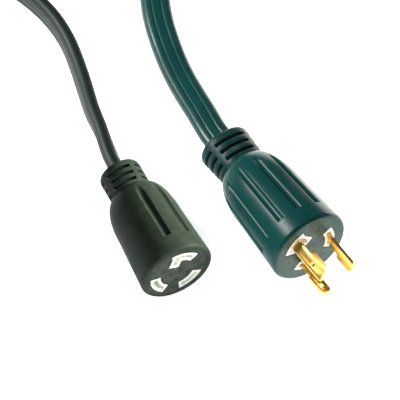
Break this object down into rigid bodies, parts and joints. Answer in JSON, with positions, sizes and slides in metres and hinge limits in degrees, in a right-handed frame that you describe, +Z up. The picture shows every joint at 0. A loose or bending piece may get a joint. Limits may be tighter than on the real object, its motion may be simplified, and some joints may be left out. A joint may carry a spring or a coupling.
{
  "type": "shore power cord",
  "caption": "Flat shore power cord with a moulded locking plug at one end, a moulded locking connector at the other, and the spare length in a tied round coil.",
  "frame": {"origin": "on the floor under the middle of the box round the two moulded ends, without the free cord and its coil", "axes": "+Z up from the floor that the two ends lie on; -Y is the way both faces look; +X runs from the connector towards the plug"},
  "size_m": [0.3195, 0.4494, 0.0486],
  "materials": {
    "connector_moulding": "satin flexible PVC moulding, dark olive grey, fine grain",
    "connector_relief": "satin flexible PVC, dark olive grey",
    "plug_moulding": "glossy flexible PVC moulding, dark teal green",
    "plug_relief": "glossy flexible PVC, dark teal green",
    "cord_jacket": "smooth PVC jacket, from matte olive black at the connector to glossy teal at the plug",
    "white_nylon": "moulded white nylon",
    "inner_mould": "rough inner PVC moulding, never seen",
    "blade_brass": "stamped and polished brass",
    "contact_brass": "bare spring brass",
    "ground_insulation": "green PVC insulation",
    "neutral_insulation": "white PVC insulation",
    "line_insulation": "black PVC insulation",
    "copper": "stranded copper",
    "tie_webbing": "black hook-and-loop strap"
  },
  "bodies": {
    "root": {"connector_shell": "connector_moulding", "connector_strain_relief": "connector_relief", "connector_slot_insert": "white_nylon", "connector_back_mould": "inner_mould", "connector_ground_contact": "contact_brass", "connector_neutral_contact": "contact_brass", "connector_line_contact": "contact_brass", "connector_ground_lead": "ground_insulation", "connector_neutral_lead": "neutral_insulation", "connector_line_lead": "line_insulation", "connector_ground_core": "copper", "connector_neutral_core": "copper", "connector_line_core": "copper", "connector_jacket_end": "cord_jacket", "plug_shell": "plug_moulding", "plug_strain_relief": "plug_relief", "plug_blade_carrier": "white_nylon", "plug_back_mould": "inner_mould", "plug_ground_blade": "blade_brass", "plug_neutral_blade": "blade_brass", "plug_line_blade": "blade_brass", "plug_ground_lead": "ground_insulation", "plug_neutral_lead": "neutral_insulation", "plug_line_lead": "line_insulation", "plug_ground_core": "copper", "plug_neutral_core": "copper", "plug_line_core": "copper", "plug_jacket_end": "cord_jacket", "cord_to_connector": "cord_jacket", "cord_coil": "cord_jacket", "cord_to_plug": "cord_jacket", "coil_ties": "tie_webbing"}
  },
  "joints": []
}
